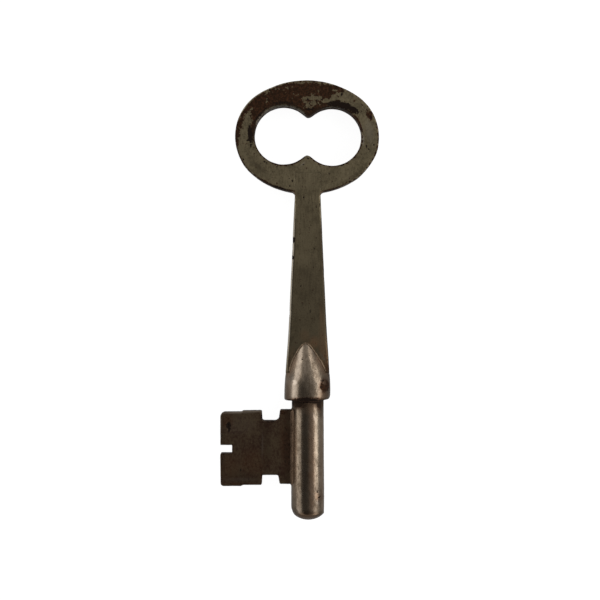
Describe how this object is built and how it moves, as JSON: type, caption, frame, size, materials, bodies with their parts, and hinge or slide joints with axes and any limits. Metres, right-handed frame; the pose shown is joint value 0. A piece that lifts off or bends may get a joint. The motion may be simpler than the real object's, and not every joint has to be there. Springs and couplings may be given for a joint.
{
  "type": "skeleton key",
  "caption": "Flat oval-bowed lever-lock key with a tapered shank, nosed collar, solid round post and a cut bit, built up from brazed pieces.",
  "frame": {"origin": "on the post's axis, in the plane of the collar's shoulder", "axes": "+Y along the key from the shoulder to the bow, -X towards the bit, +Z out of the front face"},
  "size_m": [0.0321, 0.089, 0.0094],
  "materials": {
    "flat_steel": "worn satin, olive grey, with brown rust round the eye",
    "turned_steel": "burnished by handling, brown in the hollows",
    "bit_steel": "dark brown, mottled, satin",
    "braze": "dull, tarnished brown"
  },
  "bodies": {
    "root": {"bow": "flat_steel", "shank": "flat_steel", "collar": "turned_steel", "post": "turned_steel", "bit": "bit_steel", "bow_braze": "braze", "nose_braze": "braze", "shoulder_braze": "braze", "bit_braze": "braze"}
  },
  "joints": []
}
